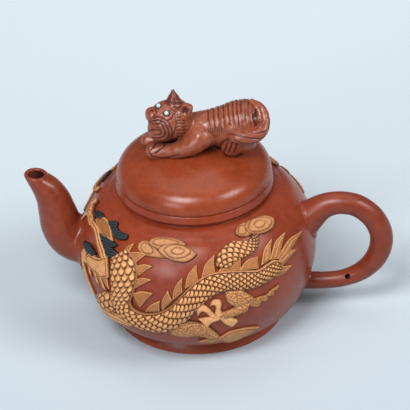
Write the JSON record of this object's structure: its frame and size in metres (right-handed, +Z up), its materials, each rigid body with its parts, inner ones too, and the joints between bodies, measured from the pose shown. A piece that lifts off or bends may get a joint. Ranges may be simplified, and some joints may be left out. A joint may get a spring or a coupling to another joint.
{
  "type": "teapot",
  "caption": "Round stoneware teapot with a beast knob on its domed lid, a laid clay dragon round the belly, an S-shaped spout and an ear handle.",
  "frame": {"origin": "centre of the foot ring's resting face", "axes": "+Z up along the pot's axis, +X from the pot's axis towards the handle, so the spout points to -X"},
  "size_m": [0.1779, 0.1202, 0.1272],
  "materials": {
    "belly_stoneware": "burnished, faint satin gloss",
    "lid_stoneware": "burnished, satin gloss",
    "spout_stoneware": "burnished, satin",
    "handle_stoneware": "burnished, satin",
    "foot_stoneware": "satin, slightly darker",
    "beast_stoneware": "matte, carved",
    "tan_clay": "matte, carved",
    "orange_clay": "matte, carved",
    "dark_slip": "matte",
    "eye_bead": "glossy"
  },
  "bodies": {
    "pot": {"base_plate": "foot_stoneware", "foot_ring": "foot_stoneware", "front_back_fins": "orange_clay", "front_claws": "tan_clay", "front_cloud_large": "tan_clay", "front_cloud_small": "tan_clay", "front_dragon_head": "tan_clay", "front_dragon_horn": "orange_clay", "front_dragon_mane": "dark_slip", "front_dragon_snout": "tan_clay", "front_dragon_trunk": "tan_clay", "front_dragon_whiskers": "tan_clay", "front_far_foreleg": "tan_clay", "front_foreleg": "tan_clay", "front_leg_tuft": "orange_clay", "front_lower_shin": "tan_clay", "front_lower_thigh": "tan_clay", "front_paw_leaves": "orange_clay", "front_tail_fins": "orange_clay", "front_upper_leg": "tan_clay", "handle": "handle_stoneware", "mouth_ring": "belly_stoneware", "pot_wall": "belly_stoneware", "rear_back_fins": "orange_clay", "rear_claws": "tan_clay", "rear_cloud_large": "tan_clay", "rear_cloud_small": "tan_clay", "rear_dragon_head": "tan_clay", "rear_dragon_horn": "orange_clay", "rear_dragon_mane": "dark_slip", "rear_dragon_snout": "tan_clay", "rear_dragon_trunk": "tan_clay", "rear_dragon_whiskers": "tan_clay", "rear_far_foreleg": "tan_clay", "rear_foreleg": "tan_clay", "rear_leg_tuft": "orange_clay", "rear_lower_shin": "tan_clay", "rear_lower_thigh": "tan_clay", "rear_paw_leaves": "orange_clay", "rear_tail_fins": "orange_clay", "rear_upper_leg": "tan_clay", "spout": "spout_stoneware"},
    "lid_collar": {"lid_collar": "lid_stoneware"},
    "lid": {"beast_body": "beast_stoneware", "beast_crest": "beast_stoneware", "beast_eyes": "eye_bead", "beast_far_ear": "beast_stoneware", "beast_far_foreleg": "beast_stoneware", "beast_far_hind_leg": "beast_stoneware", "beast_head": "beast_stoneware", "beast_jaw": "beast_stoneware", "beast_muzzle": "beast_stoneware", "beast_near_ear": "beast_stoneware", "beast_near_foreleg": "beast_stoneware", "beast_near_hind_leg": "beast_stoneware", "beast_tail": "beast_stoneware", "lid_dome": "lid_stoneware", "lid_plate": "lid_stoneware"}
  },
  "joints": [
    {"name": "lid_lift", "type": "slide", "parent": "pot", "child": "lid_collar", "axis": [0, 0, 1], "range_m": [0, 0.08]},
    {"name": "lid_turn", "type": "hinge", "parent": "lid_collar", "child": "lid", "pos_m": [0, 0, 0.0773], "axis": [0, 0, 1], "continuous": true}
  ]
}
